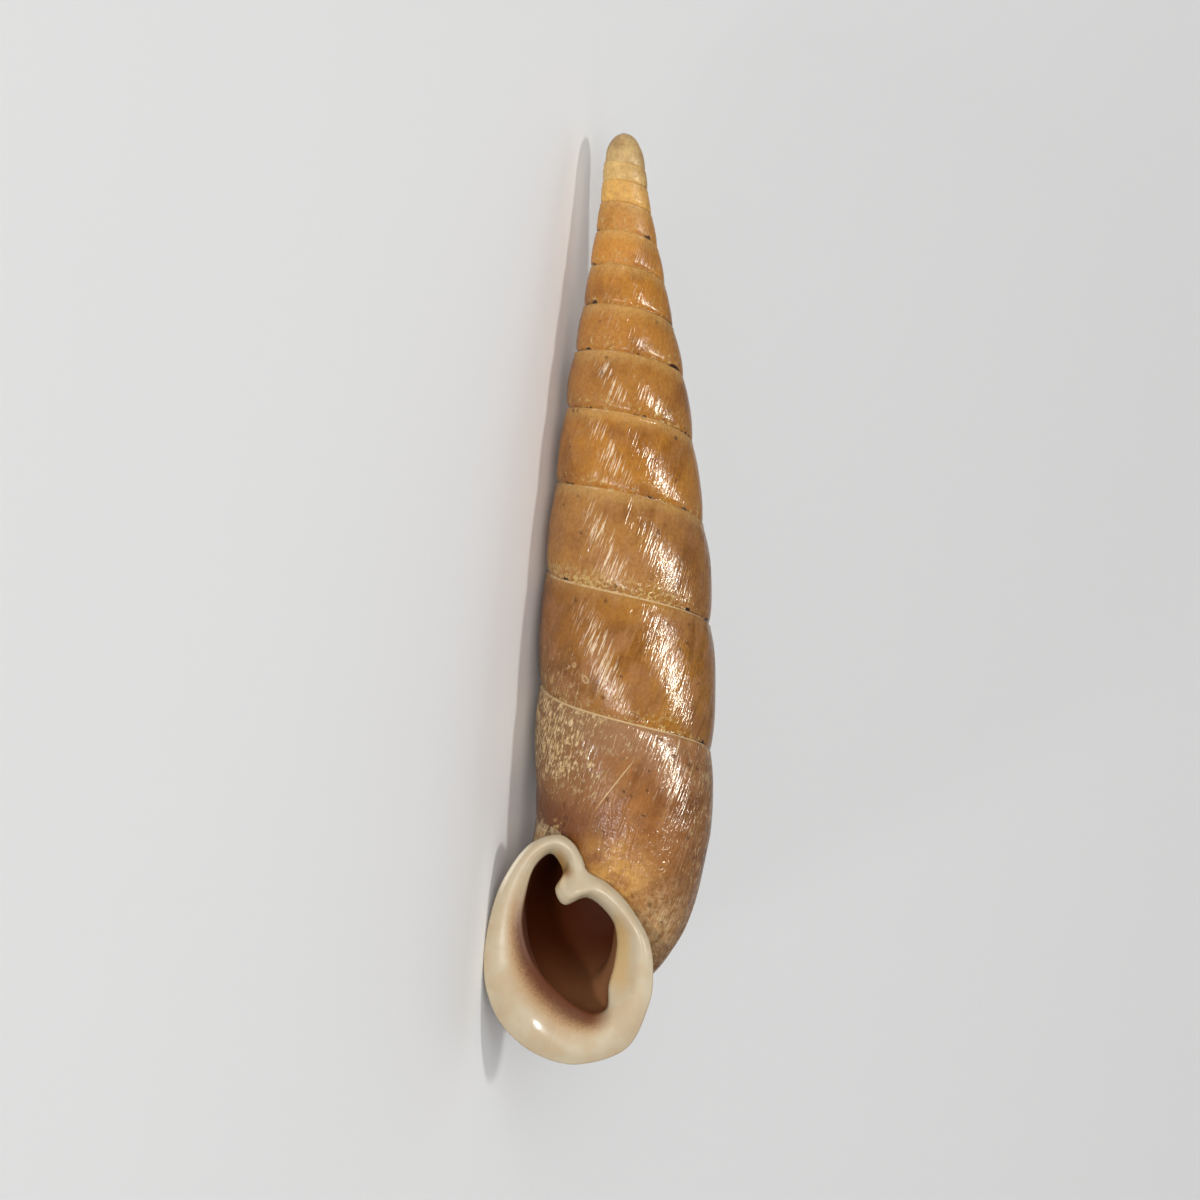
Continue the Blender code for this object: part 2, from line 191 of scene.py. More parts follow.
# On the last two whorls the stops on the left and right sides (10.0, 10.6, 11.0, 11.5) are painted shade.
TURN_COLOURS_AND_SIDE_SHADE = (
    (0.0, (0.52, 0.355, 0.155)),
    (1.0, (0.60, 0.40, 0.15)),
    (1.7, (0.63, 0.39, 0.12)),
    (2.2, (0.68, 0.38, 0.09)),
    (3.2, (0.48, 0.215, 0.038)),
    (4.2, (0.52, 0.225, 0.034)),
    (5.2, (0.43, 0.180, 0.026)),
    (6.2, (0.42, 0.180, 0.032)),
    (7.2, (0.38, 0.163, 0.028)),
    (8.2, (0.41, 0.170, 0.020)),
    (9.2, (0.37, 0.170, 0.038)),
    (10.0, (0.20, 0.070, 0.010)),
    (10.3, (0.36, 0.155, 0.022)),
    (10.6, (0.22, 0.088, 0.010)),
    (11.0, (0.18, 0.062, 0.016)),
    (11.25, (0.36, 0.145, 0.036)),
    (11.5, (0.19, 0.075, 0.020)),
    (12.2, (0.28, 0.14, 0.045)),
)
BAND_COLOUR = (0.54, 0.32, 0.10)
LIME = (0.58, 0.40, 0.20)
WORN_SIDE_LIME = (0.70, 0.52, 0.29)
WORN_TAN = (0.44, 0.27, 0.10)
BASE_BROWN = (0.35, 0.18, 0.065)
BASE_TAN = (0.66, 0.42, 0.20)
# Painted shade: near-black in the sutures' creases.
SUTURE_SHADE_COLOUR = (0.035, 0.012, 0.004)
AMBER = (0.56, 0.30, 0.07)
LIP_COLOUR = (0.465, 0.385, 0.262)
LIP_SHADE = (0.44, 0.337, 0.214)
# Painted shade on the groove's wall beside the lamella's stalk, darker at its lower end.
GROOVE_SHADE_COLOUR = (0.50, 0.29, 0.10)
GROOVE_END_SHADE_COLOUR = (0.22, 0.11, 0.035)
THROAT_TAN = (0.40, 0.23, 0.10)
THROAT_BROWN = (0.095, 0.022, 0.002)
THROAT_DARK = (0.09, 0.018, 0.003)
# Painted light: a paler patch low on the throat's right wall, as if lit.
THROAT_PAINTED_LIGHT = (0.44, 0.20, 0.085)
# Marks: their colour, and how strongly they cover what is below them.
MARKS = {
    "mauve": ((0.345, 0.160, 0.066), 0.55),
    "pale streak": ((0.45, 0.245, 0.09), 0.4),
    "low left": ((0.125, 0.036, 0.008), 0.95),
    # A painted highlight: fine pale lines on the left of each whorl.
    "painted highlight": ((0.80, 0.64, 0.44), 0.85),
    # Partly the shell's mauve tone and partly a painted sheen.
    "haze_and_sheen": ((0.35, 0.205, 0.115), 0.55),
    # Partly worn pale streaks and partly a painted highlight.
    "shoulder_streaks_and_highlight": ((0.70, 0.52, 0.32), 0.9),
    "worn side": ((0.19, 0.085, 0.030), 0.75),
    "scrap": ((0.56, 0.38, 0.14), 0.85),
    "thread": ((0.60, 0.43, 0.22), 0.85),
    "pit": ((0.11, 0.042, 0.012), 0.75),
    "scratch": (LIME, 0.75),
    "chip": ((0.44, 0.32, 0.17), 0.9),
    "ring": (LIME, 0.6),
    "ledge": ((0.50, 0.32, 0.12), 0.7),
    # A painted highlight along the lip's upper left edge.
    "painted lip highlight": ((0.82, 0.74, 0.60), 0.8),
}
# Marks that darken: what the colour below is multiplied by, and how strongly.
TINTS = {
    "cloud": ((0.61, 0.52, 0.47), 0.8),
    "dark streak": ((0.52, 0.42, 0.32), 0.6),
    "grain": ((0.58, 0.46, 0.36), 0.45),
}
BASE_STRENGTH = 0.8
FLECK_STRENGTH = 0.9
WEAR_LEFT = 0.82
WEAR_LOW_LEFT = 0.62
WEAR_RIGHT = 0.55
# The same on the upper whorls and on the lower ones.
BAND_STRENGTHS = (0.62, 0.22)
DARK_STREAK_STRENGTHS = (0.35, 0.9)
BROAD_WEAR = (0.32, 0.62)

# ---- Where the marks are ----

# Stretches of the coil, in turns: where a mark starts, is full, starts to fade and ends.
LOW_LEFT = (10.9, 11.0, 11.1, 11.28)
WORN_LEFT = (10.8, 11.0, 11.10, 11.36)
WORN_LOW_LEFT = (9.9, 10.05, 10.1, 10.32)
WORN_RIGHT = (11.30, 11.40, 11.5, 11.9)
# The same, as a first and a last turn and how soft both ends are.
# A pale mauve veil below the last whorl's suture: partly the shell's tone, partly a painted sheen.
HAZE_AND_SHEEN = (11.08, 11.36, 0.04)
# Pale lines on the last whorl's upper right: partly worn streaks, partly a painted highlight.
SHOULDER_STREAKS_AND_HIGHLIGHT = (11.29, 11.48, 0.03)
MANY_SCRAPS = (9.0, 9.35, 0.08)
# The painted highlight on each whorl's left, as a share of a turn, and how far it moves down a whorl.
LEFT_HIGHLIGHT_MIDDLE = 0.152
LEFT_HIGHLIGHT_LEAN = 0.098
# How far the painted shade in a suture reaches up from it.
SUTURE_SHADE_REACH = 0.17
# Round the lip, counted in points of LIP_EDGE, and across it, from -1 on its back and 0
# at its outer edge to 1 at the throat's edge.
WIDE_THROAT = (1.4, 3.4, 7.8, 9.3)
LEDGE = (10.1, 12.8, 0.5)
# Where the groove's painted shade is.
SHADED_GROOVE = (16.1, 17.7, 0.45)
# Where the painted highlight along the lip's upper left edge is, round and across the lip.
LIP_HIGHLIGHT = (1.0, 2.1, 0.35)
LIP_HIGHLIGHT_ACROSS = (0.03, 0.16, 0.05)
LIP_STARTS = (-1.1, -0.5)
# Spots of the upright shell: the middle, as (right, away, depth), and the radius.
MOTTLED_BASE = ((1.8, -3.2, 38.2), 4.4)
WORN_BASE = ((2.2, -2.9, 38.3), 4.0)
AMBER_SPOT = ((-0.5, -4.1, 35.1), 3.0)
RINGED = ((-2.1, -3.6, 25.9), 1.6)
LIP_ROOT = ((-3.9, -2.2, 33.1), 2.4)
# The darkest painted shade, at the groove's lower end.
GROOVE_END_SHADE = ((-2.68, -3.6, 34.8), 0.55)
# The painted light low in the throat.
LIT_THROAT = ((-1.2, -1.0, 39.3), 4.0)
LIP_SWELLING = ((-4.39, -3.71, 41.8), 3.0)
SHINY_LIP = ((-4.39, -3.71, 41.8), 2.4)
DULL_LIP = (((-1.7, -4.2, 42.8), 2.0), ((1.2, -3.7, 39.7), 2.4))
# Spots with the share of their crinkles.
CRINKLED = (
    (((1.0, -4.0, 34.6), 3.4), 1.0),
    (((2.4, -2.9, 37.4), 3.4), 1.0),
    (((-0.6, -4.1, 32.0), 2.8), 0.55),
)
# The edge where the neck leaves the whorl: a point on it, and the way across it.
LIP_ROOT_EDGE = ((-4.01, -2.0, 32.3), (-0.636, 0.0, 1.0))
# Pale scratches on the front, as (right, depth) to (right, depth), and their half width.
SCRATCHES = (
    ((0.50, 29.70), (-1.15, 31.85), 0.045),
    ((-0.05, 26.15), (-0.35, 26.85), 0.035),
    ((-0.65, 25.00), (-0.95, 25.90), 0.04),
    ((-0.28, 28.40), (-0.42, 29.05), 0.03),
)

# ---- The material's relief, in millimetres, and its gloss ----

FINE_LINE_HEIGHTS = (0.01, 0.049)
BROAD_LINE_HEIGHT = 0.030
GRAIN_HEIGHT = 0.008
MARK_HEIGHTS = {"fleck": 0.012, "pit": -0.03, "scratch": -0.02, "scrap": 0.015, "lip root": 0.10}
CRINKLE_HEIGHT = 0.14
LIP_WAVE_HEIGHT = 0.010
LIP_SWELLING_HEIGHT = 0.30
SHELL_ROUGHNESS = (0.14, 0.50)
TIP_ROUGHER = 0.30
LIP_ROUGHNESS = 0.30
LIP_DULLER = 0.35
LIP_SHINIER = 0.11
THROAT_ROUGHNESS = 0.6
SPECULAR = 0.38
SUBSURFACE = 0.10
SUBSURFACE_RADIUS = (1.0, 0.5, 0.25)
SUBSURFACE_SCALE = 0.5
# The Mix node's sockets for numbers and for colours: its inputs (share, a, b) and output.
MIX_NUMBER_SOCKETS = ((0, 2, 3), 0)
MIX_COLOUR_SOCKETS = ((0, 6, 7), 2)

# ---- Camera, floor and light ----

CAMERA_LENS = 800.0
CAMERA_SENSOR = 36.0
CAMERA_CLIP = 0.01
# The side of the square that the camera sees, and the point in its middle.
FRAME_MM = 56.65
VIEW_MIDDLE = (-1.13, 0.0, -22.05)
FLOOR_SIDE = 3.0
FLOOR_COLOUR = (0.84, 0.84, 0.84)
FLOOR_ROUGHNESS = 0.8
WHITE = (1.0, 1.0, 1.0)
WORLD_STRENGTH = 0.20
# Lamps: degrees right of the camera and up from it, distance, width and height in metres,
# and power.
LAMPS = {
    "key": ((57, 7), 0.5, 0.05, 0.05, 0.6),
    "low": ((-16, -12), 0.6, 0.034, 0.034, 1.35),
    "rim": ((34, -47), 0.6, 0.025, 0.025, 0.10),
    "front": ((2, 12), 1.2, 1.4, 1.4, 12.2),
    "back": ((125, 5), 1.2, 1.2, 1.2, 5.0),
    "gloss": ((59, 1), 0.5, 0.025, 0.07, 2.4),
}
NOT_IN_REFLECTIONS = ("front", "back")
ONLY_IN_REFLECTIONS = ("gloss",)
LAMP_COLOURS = {"gloss": (0.96, 0.90, 0.76)}
LAMP_TARGET_DEPTH = 22


def through(at, xs, ys):
    """A smooth curve through the points (xs, ys) that doesn't overshoot, read at `at`."""
    xs = np.asarray(xs, float)
    ys = np.asarray(ys, float)
    steps = np.diff(xs)
    slopes = np.diff(ys) / steps
    before, after = slopes[:-1], slopes[1:]
    turning = before * after <= 0
    total = np.where(turning, 1.0, before + after)
    inner = np.where(turning, 0.0, 2.0 * before * after / total)
    tangents = np.concatenate(([slopes[0]], inner, [slopes[-1]]))
    at = np.clip(at, xs[0], xs[-1])
    span = np.clip(np.searchsorted(xs, at, side="right") - 1, 0, len(steps) - 1)
    width = steps[span]
    u = (at - xs[span]) / width
    rise = ys[span + 1] - ys[span]
    start = tangents[span] * width
    end = tangents[span + 1] * width
    return ys[span] + u * (start + u * (3 * rise - 2 * start - end + u * (start + end - 2 * rise)))


def eased(value, low, high):
    """0 below low, 1 above high, and a smooth step between them."""
    u = np.clip((value - low) / (high - low), 0.0, 1.0)
    return u * u * (3.0 - 2.0 * u)


def uneven(u, v, seed):
    """Smooth random values from -1 to 1, a new one for each step of 1 in u or v."""
    size = RANDOM_TABLE_SIZE
    table = np.random.default_rng(seed).uniform(-1.0, 1.0, (size, size))
    u, v = np.broadcast_arrays(u, v)
    column = np.floor(u).astype(int)
    row = np.floor(v).astype(int)
    across = eased(u - column, 0.0, 1.0)
    down = eased(v - row, 0.0, 1.0)

    def at(i, j):
        return table[(column + i) % size, (row + j) % size]

    top = at(0, 0) + (at(1, 0) - at(0, 0)) * across
    bottom = at(0, 1) + (at(1, 1) - at(0, 1)) * across
    return top + (bottom - top) * down


def suture_depth(turn):
    """How deep the suture is after so many turns, with its tilt."""
    tilt = through(turn, TILT_TURNS, TILT_RISES) * np.sin(2.0 * math.pi * np.asarray(turn))
    return through(turn, SUTURE_TURNS, SUTURE_DEPTHS) - tilt


def coil_angle(turn):
    """The coil starts on the left and turns anticlockwise, seen from the tip."""
    return math.pi + 2.0 * math.pi * turn


def neck_share(turn):
    """1 on the side of the spindle where the neck leaves it, 0 elsewhere."""
    side = (turn + 0.5) % 1.0 - 0.5
    return eased(side, *NECK_TURNS[:2]) * (1.0 - eased(side, *NECK_TURNS[2:]))


def spindle_profile(turn, depth):
    """Radius and true depth of the spindle over the whorls' bulges."""
    start = BODY_DEPTHS[-1]
    body = through(depth, BODY_DEPTHS, BODY_RADII)
    along = np.clip((depth - start) / (BASE_DEPTHS[-1] - start), 0.0, 1.0)
    share = neck_share(turn)
    steps = np.linspace(0.0, 1.0, len(BASE_DEPTHS))
    base_depth = through(along, steps, BASE_DEPTHS)
    base_radius = through(along, steps, BASE_RADII)
    neck_depth = through(along, steps, NECK_DEPTHS)
    neck_radius = through(along, steps, NECK_RADII)
    swell = share * eased(depth, start - NECK_SWELL, start)
    body = body + swell * (NECK_RADII[0] - BASE_RADII[0])
    radius = np.where(depth < start, body, base_radius + share * (neck_radius - base_radius))
    true_depth = np.where(depth < start, depth, base_depth + share * (neck_depth - base_depth))
    return radius, true_depth


def suture_strength(turn, phase):
    """1 at the sutures between whorls, fading to 0 where the last one ends under the lip."""
    upper = 1.0 - eased(turn, *SUTURE_END)
    lower = 1.0 - eased(turn + 1.0, *SUTURE_END)
    return upper + (lower - upper) * phase


def whorl_profile(turn, phase):
    """How far a whorl is drawn in between its upper suture, phase 0, and its lower one, 1."""
    arch = phase ** WHORL_SHOULDER
    drawn = 1.0 - (4.0 * arch * (1.0 - arch)) ** WHORL_ROUNDNESS
    return 1.0 - WHORL_BULGE * drawn * suture_strength(turn, phase)


def girth_radius(turn):
    """The spindle's radius in the middle of the whorl that starts at a turn."""
    return through(suture_depth(turn + 0.5), BODY_DEPTHS, BODY_RADII)


def growth_place(turn, depth):
    """Where a point lies in the shell's growth: millimetres along the coil to its growth
    line, the turn of its whorl, and how far it is below and above the sutures."""
    last = turn > LAST_LINE_TURN
    turn = np.where(last, turn - 1.0, turn)
    turns = np.linspace(-1.0, LAST_TURN, LINE_SAMPLES)
    lengths = np.cumsum(2.0 * math.pi * girth_radius(turns)) * (turns[1] - turns[0])
    below = depth - suture_depth(turn)
    line = np.interp(turn, turns, lengths) + BACKWARD * below
    ended = last | (turn + 1.0 > SUTURE_END[1])
    above = np.where(ended, NO_SUTURE, suture_depth(turn + 1.0) - depth)
    return line, turn, below, above


def suture_relief(turn, phase, line, below, above):
    """The thread, groove and crease of the sutures."""
    chips = 1.0 + CHIP_SHARE * uneven(line / CHIP_LENGTH, 0.5, CHIP_SEED)
    thread = THREAD_HEIGHT * np.exp(-(((below - THREAD_WIDTH) / THREAD_WIDTH) ** 2)) * chips
    groove = GROOVE_DEPTH * np.exp(-((above / GROOVE_WIDTH) ** 2)) * chips
    crease = CREASE_DEPTH * np.exp(-((below / CREASE_WIDTH) ** 2))
    return (thread - groove - crease) * suture_strength(turn, phase)


def growth_relief(turn, phase, depth):
    """Small rises and falls of the surface, in millimetres: growth wrinkles and sutures."""
    line, place, below, above = growth_place(turn, depth)
    radius = through(depth, BODY_DEPTHS, BODY_RADII)
    size = np.maximum(radius, SMALLEST_GIRTH_RADIUS) / FULL_GIRTH_RADIUS
    near_lip = eased(place, *NEAR_LIP_TURNS) * eased(below, *NEAR_LIP_BELOW)
    wrinkles = 0.0
    for along, down, shift, height, higher, seed in WRINKLES:
        wave = uneven(line / along, below / down + shift, seed)
        wrinkles = wrinkles + wave * (height + higher * near_lip)
    sutures = suture_relief(turn, phase, line, below, above)
    grown = np.minimum(size * SUTURES_GROW_FASTER, 1.0) * eased(place, *SUTURES_GROW_TURNS)
    return size * wrinkles + sutures * grown


def coil_turns():
    """The turns of the columns, coarse near the tip and fine below."""
    coarse = np.arange(-1.0, COARSE_TURNS, 1.0 / COLUMNS_PER_TURN[0])
    fine = np.arange(COARSE_TURNS, LAST_TURN, 1.0 / COLUMNS_PER_TURN[1])
    return np.concatenate([coarse, fine])


def row_phases():
    """The phases of the rows of one whorl, crowded towards its sutures."""
    steps = np.arange(WHORL_ROWS) / WHORL_ROWS
    crowded = 0.5 - 0.5 * np.cos(math.pi * steps)
    return steps + SUTURE_CROWDING * (crowded - steps)


def spindle_points(turns, phases):
    """The spindle's points: a column for each turn, and in it a row for each phase."""
    turn = turns[:, None]
    phase = phases[None, :]
    depth = suture_depth(turn) + phase * (suture_depth(turn + 1.0) - suture_depth(turn))
    radius, true_depth = spindle_profile(turn, depth)
    relief = growth_relief(turn, phase, depth) * eased(radius, *RELIEF_STARTS_RADII)
    radius = radius * whorl_profile(turn, phase) + relief
    angle = coil_angle(turn)
    bow = AXIS_BOW * np.sin(math.pi * true_depth / BODY_DEPTHS[-1])
    return np.stack([bow + radius * np.cos(angle), radius * np.sin(angle), -true_depth], axis=-1)


def spindle_faces(turns, phases, verts, foot):
    """The corners of each face, as (point, turn, phase). The last row of a column ends at
    the first points of the columns one turn on, which are its lower suture."""
    count = len(turns)
    one_on = np.searchsorted(turns, turns + 1.0 - 1e-6)

    def corner(column, row):
        if column < count:
            return verts[column * WHORL_ROWS + row], turns[column], phases[row]
        return foot, LAST_TURN, phases[row]

    def lower_suture(column):
        following = one_on[column + 1] if column + 1 < count else count
        found = []
        for k in range(one_on[column], min(following, count - 1) + 1):
            found.append((verts[k * WHORL_ROWS], turns[k] - 1.0, 1.0))
        if following >= count:
            found.append((foot, turns[min(column + 1, count - 1)], 1.0))
        return found

    for column in range(count):
        for row in range(WHORL_ROWS - 1):
            upper = [corner(column, row), corner(column, row + 1)]
            yield upper + [corner(column + 1, row + 1), corner(column + 1, row)]
        row = WHORL_ROWS - 1
        yield [corner(column, row)] + lower_suture(column) + [corner(column + 1, row)]


def spindle_mesh():
    """The coiled spindle, with each corner's turn and phase kept in a UV layer."""
    turns = coil_turns()
    phases = row_phases()
    mesh = bmesh.new()
    verts = [mesh.verts.new(p * MM) for p in spindle_points(turns, phases).reshape(-1, 3)]
    foot = mesh.verts.new((0.0, 0.0, -BASE_DEPTHS[-1] * MM))
    coil = mesh.loops.layers.uv.new("coil")
    mouth = mesh.loops.layers.uv.new("mouth")
    for ring in spindle_faces(turns, phases, verts, foot):
        corners = {}
        for point, turn, phase in ring:
            corners.setdefault(point, (turn, phase))
        if len(corners) < 3:
            continue
        face = mesh.faces.new(list(corners))
        for loop, at in zip(face.loops, corners.values()):
            loop[coil].uv = at
            loop[mouth].uv = (NOT_MOUTH, 0.0)
    return closed(mesh, "spindle")


def closed(mesh, name):
    """A Blender mesh from a bmesh, without slivers, loose edges or holes."""
    bmesh.ops.remove_doubles(mesh, verts=mesh.verts, dist=SMALLEST_EDGE * MM)
    bmesh.ops.dissolve_degenerate(mesh, edges=mesh.edges, dist=SMALLEST_EDGE * MM)
    loose = [edge for edge in mesh.edges if edge.is_wire]
    bmesh.ops.delete(mesh, geom=loose, context="EDGES")
    bmesh.ops.holes_fill(mesh, edges=[edge for edge in mesh.edges if edge.is_boundary])
    bmesh.ops.recalc_face_normals(mesh, faces=mesh.faces)
    data = bpy.data.meshes.new(name)
    mesh.to_mesh(data)
    mesh.free()
    data.shade_smooth()
    return data


def smooth_through(points, steps, ring=False):
    """Points along a smooth curve through the given ones, `steps` to each span."""
    points = np.asarray(points, float)
    count = len(points)
    spans = count if ring else count - 1
    made = []
    for i in range(spans):
        if ring:
            p0, p1, p2, p3 = (points[(i + k) % count] for k in (-1, 0, 1, 2))
        else:
            p0, p1, p2, p3 = (points[min(max(i + k, 0), count - 1)] for k in (-1, 0, 1, 2))
        for step in range(steps):
            u = step / steps
            a = 2.0 * p1
            b = p2 - p0
            c = 2.0 * p0 - 5.0 * p1 + 4.0 * p2 - p3
            d = 3.0 * p1 - p0 - 3.0 * p2 + p3
            made.append(0.5 * (a + u * (b + u * (c + u * d))))
    if not ring:
        made.append(points[-1])
    return np.array(made)


def key_angles():
    """The direction of each point of the lip's edge from its middle."""
    edge = np.array(LIP_EDGE)
    across, down = (edge - (edge.min(axis=0) + edge.max(axis=0)) / 2.0).T
    return np.arctan2(-down, across)


def pushed_out(outline, wall):
    """An outline moved outwards by a wall."""
    outline = np.asarray(outline, float)
    along = np.roll(outline, -1, axis=0) - np.roll(outline, 1, axis=0)
    along /= np.linalg.norm(along, axis=1)[:, None]
    outward = np.stack([along[:, 1], -along[:, 0]], axis=1)
    facing = np.sum(outward * (outline - outline.mean(axis=0)), axis=1).sum()
    return outline + math.copysign(wall, facing) * outward


def plain_throat():
    """The throat's edge without the lamella."""
    outline = np.array(THROAT_EDGE)
    outline[LAMELLA_FIRST:] = NO_LAMELLA
    return outline


def front_ring(outline, front):
    """An outline seen from in front, set that far in front of the axis."""
    outline = np.asarray(outline, float)
    fronts = np.broadcast_to(front, len(outline))
    return np.stack([outline[:, 0], -fronts, -outline[:, 1]], axis=1)


def leaning_ring(outline, front):
    """The same, with its left side leaning back."""
    left = np.maximum(LIP_LEAN_FROM - np.asarray(outline)[:, 0], 0.0)
    return front_ring(outline, front - left * math.tan(math.radians(LIP_LEAN_DEG)))


def hollow_ring(turn, extra, shrink=1.0):
    """A ring across the hollow of the last whorl, wider by extra."""
    out = through(turn, HOLLOW_TURNS, HOLLOW_OUT)
    depth = through(turn, HOLLOW_TURNS, HOLLOW_DEPTHS)
    half_width = shrink * (through(turn, HOLLOW_TURNS, HOLLOW_HALF_WIDTHS) + extra)
    half_height = shrink * (through(turn, HOLLOW_TURNS, HOLLOW_HALF_HEIGHTS) + extra)
    lean = math.radians(through(turn, HOLLOW_TURNS, HOLLOW_LEANS_DEG))
    angles = key_angles()
    outward = -half_width * np.cos(angles)
    down = -half_height * np.sin(angles)
    away = out + outward * math.cos(lean) - down * math.sin(lean)
    deep = depth + outward * math.sin(lean) + down * math.cos(lean)
    angle = coil_angle(turn)
    return np.stack([away * math.cos(angle), away * math.sin(angle), -deep], axis=1)


def hollow_rings(extra):
    """The hollow's rings from the mouth back to its closed end."""
    rings = [hollow_ring(turn, extra) for turn in reversed(HOLLOW_TURNS)]
    for turn, share in zip(END_TURNS, END_SHARES, strict=True):
        rings.append(hollow_ring(turn - extra * END_TURNS_PER_MM, extra, share))
    return rings


def between(ring_a, ring_b, share):
    return ring_a + share * (ring_b - ring_a)


def lip_rings():
    """From the neck out round the lip's edge and in to the throat's."""
    edge = np.array(LIP_EDGE)
    throat = np.array(THROAT_EDGE)
    dips = np.zeros((len(LIP_SHARES) + 1, len(edge)))
    for point, sunk in LIP_DIPS.items():
        dips[:, point] = sunk
    neck = pushed_out(plain_throat(), NECK_WALL)
    rings = [front_ring(neck, NECK_FRONT)]
    rings.append(leaning_ring(between(neck, edge, LIP_BACK_SHARE), LIP_BACK_FRONT))
    for share, front, sunk in zip(LIP_SHARES, LIP_FRONTS, dips, strict=False):
        rings.append(leaning_ring(between(edge, throat, share), front - sunk))
    rings.append(leaning_ring(throat, THROAT_FRONT - dips[-1]))
    return rings


def gullet_rings(extra):
    """Between the throat's edge and the hollow."""
    lamella = GULLET_LAMELLA if extra == 0.0 else 0.0
    outline = between(plain_throat(), np.array(THROAT_EDGE), lamella)
    inside = front_ring(pushed_out(outline, extra), GULLET_FRONT)
    first = hollow_ring(HOLLOW_TURNS[-1], extra)
    return [inside, between(inside, first, 0.5)]


def tube_mesh(rings, name, values=None):
    """A closed mesh through the rings. `values`, one to a ring, are kept in a UV layer."""
    rows = smooth_through(rings, STEPS_ALONG)
    grid = smooth_through(rows.swapaxes(0, 1), STEPS_ROUND, ring=True).swapaxes(0, 1)
    values = np.zeros(len(rings)) if values is None else np.asarray(values, float)
    along = np.interp(np.arange(len(grid)) / STEPS_ALONG, np.arange(len(rings)), values)
    mesh = bmesh.new()
    coil = mesh.loops.layers.uv.new("coil")
    mouth = mesh.loops.layers.uv.new("mouth")
    verts = [[mesh.verts.new(p * MM) for p in row] for row in grid]
    count = len(verts[0])
    for r in range(len(verts) - 1):
        for i in range(count):
            j = (i + 1) % count
            face = mesh.faces.new([verts[r][i], verts[r][j], verts[r + 1][j], verts[r + 1][i]])
            corners = ((r, i), (r, i + 1), (r + 1, i + 1), (r + 1, i))
            for loop, (row, column) in zip(face.loops, corners):
                loop[mouth].uv = (along[row], column / STEPS_ROUND)
                loop[coil].uv = (ON_MOUTH, 0.0)
    for row in (verts[0], list(reversed(verts[-1]))):
        mesh.faces.new(row)
    return closed(mesh, name)


def neck_mesh():
    """The neck, the lip and the hollow's wall, as one closed tube."""
    outer = list(reversed(hollow_rings(HOLLOW_WALL)))
    lip = lip_rings()
    outer.append(between(outer[-1], lip[0], 0.5))
    inner = gullet_rings(0.0) + hollow_rings(0.0)
    values = [NECK_VALUE] * (len(outer) - 1) + [*LIP_BACK_VALUES, *LIP_SHARES, 1.0]
    values += [1.0 + THROAT_VALUE_STEP * (k + 1) for k in range(len(inner))]
    return tube_mesh(outer + lip + inner, "neck", values)


def cutter_mesh():
    """What is taken out of the spindle: to the middle of the hollow's wall."""
    mouth = pushed_out(plain_throat(), NECK_WALL / 2.0)
    half_wall = HOLLOW_WALL / 2.0
    rings = [front_ring(mouth, CUTTER_FRONT), front_ring(mouth, THROAT_FRONT)]
    return tube_mesh(rings + gullet_rings(half_wall) + hollow_rings(half_wall), "cutter")


def lying():
    """How the upright shell is turned and moved to where it lies."""
    middle = Matrix.Translation((0.0, 0.0, TURN_MIDDLE_DEPTH * MM))
    flat = Matrix.Rotation(math.radians(-90.0), 4, "X")
    roll = Matrix.Rotation(math.radians(ROLL_DEG), 4, "Y")
    pitch = Matrix.Rotation(math.radians(PITCH_DEG), 4, "X")
    set_down = Matrix.Translation([MM * step for step in SET_DOWN])
    return set_down @ pitch @ roll @ flat @ middle


def linked(name, data):
    item = bpy.data.objects.new(name, data)
    bpy.context.collection.objects.link(item)
    return item


def without_flaps(mesh):
    """Takes out the slivers that a Boolean leaves: faces back to back, and loose corners."""
    bmesh.ops.remove_doubles(mesh, verts=mesh.verts, dist=SMALLEST_EDGE * MM)
    bmesh.ops.triangulate(mesh, faces=mesh.faces)
    on_same_corners = {}
    for face in mesh.faces:
        on_same_corners.setdefault(frozenset(face.verts), []).append(face)
    flaps = [face for faces in on_same_corners.values() if len(faces) > 1 for face in faces]
    flaps += [face for face in mesh.faces if sum(edge.is_boundary for edge in face.edges) > 1]
    bmesh.ops.delete(mesh, geom=list(dict.fromkeys(flaps)), context="FACES")


def joined_mesh():
    """The spindle hollowed by the cutter and joined with the lip and neck."""
    body = linked("body", spindle_mesh())
    tools = (linked("cutter", cutter_mesh()), linked("neck", neck_mesh()))
    for tool, operation in zip(tools, ("DIFFERENCE", "UNION"), strict=True):
        modifier = body.modifiers.new(operation, "BOOLEAN")
        modifier.operation = operation
        modifier.object = tool
    bpy.context.view_layer.update()
    evaluated = body.evaluated_get(bpy.context.evaluated_depsgraph_get())
    data = bpy.data.meshes.new_from_object(evaluated)
    for item in (body, *tools):
        bpy.data.objects.remove(item, do_unlink=True)
    mesh = bmesh.new()
    mesh.from_mesh(data)
    without_flaps(mesh)
    return closed(mesh, "shell_surface")


def read_layer(data, name):
    values = np.empty(len(data.loops) * 2)
    data.uv_layers[name].data.foreach_get("uv", values)
    return values.reshape(-1, 2)


def write_layer(data, name, first, second):
    layer = data.uv_layers.get(name) or data.uv_layers.new(name=name)
    layer.data.foreach_set("uv", np.stack([first, second], axis=1).ravel())


